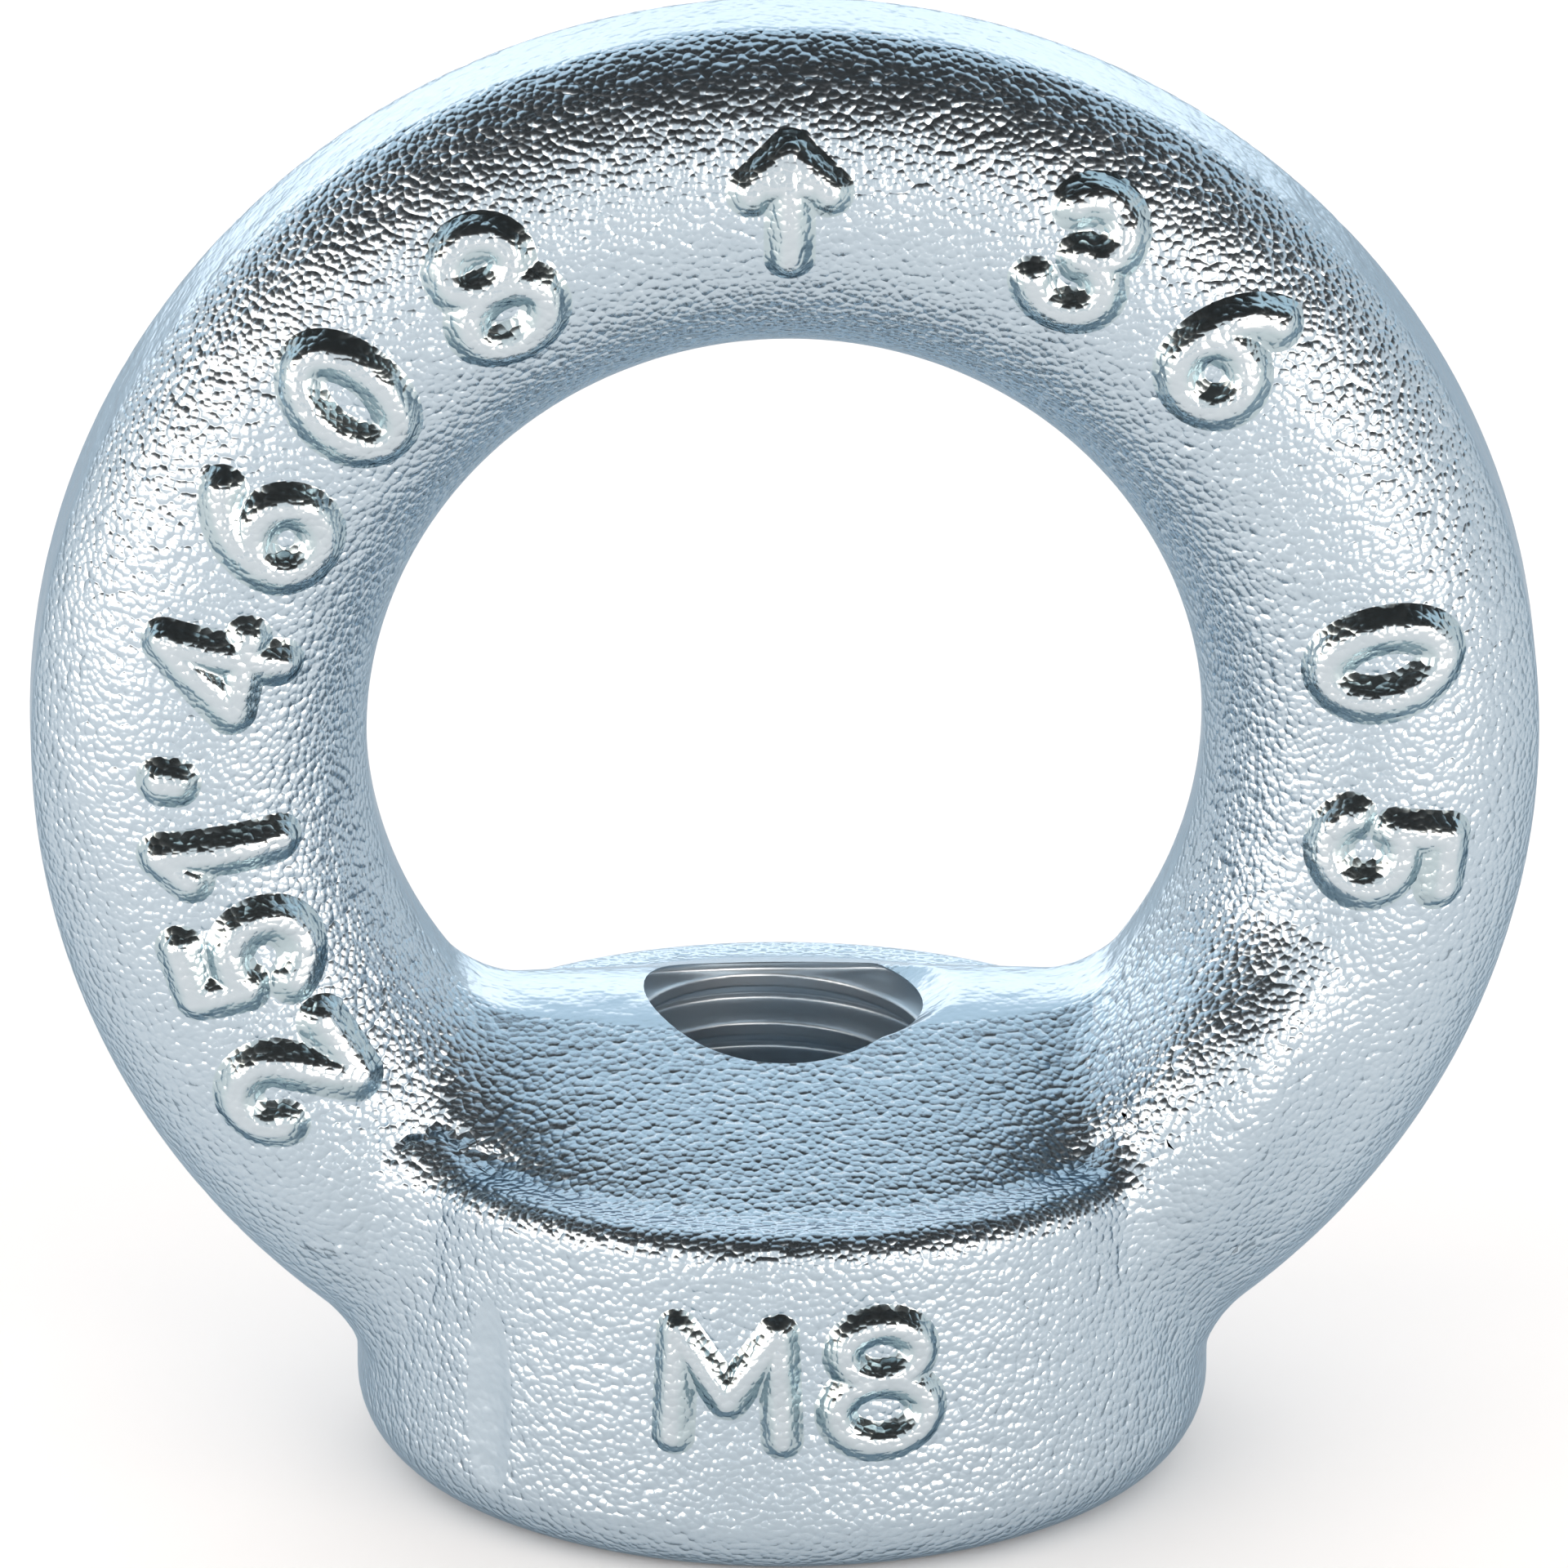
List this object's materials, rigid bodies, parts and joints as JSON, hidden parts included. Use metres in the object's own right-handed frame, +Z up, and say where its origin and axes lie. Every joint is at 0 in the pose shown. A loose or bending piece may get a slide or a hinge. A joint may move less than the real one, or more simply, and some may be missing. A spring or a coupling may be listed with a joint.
{
  "type": "lifting eye nut",
  "caption": "Forged lifting eye nut: a round ring on a short collar with a tapped bore that opens into the eye's flat seat.",
  "frame": {"origin": "centre of the collar's flat base face, on the thread axis", "axes": "+Z up along the thread axis towards the ring, +X across the eye in the ring's plane, +Y through the eye"},
  "size_m": [0.036, 0.0204, 0.0364],
  "materials": {
    "zinc_plated_steel": "bright zinc plate with a blue tint over pebbled, shot-blasted forging steel, smooth on the seat and the trimmed lands"
  },
  "bodies": {
    "root": {"eye_nut": "zinc_plated_steel"}
  },
  "joints": []
}
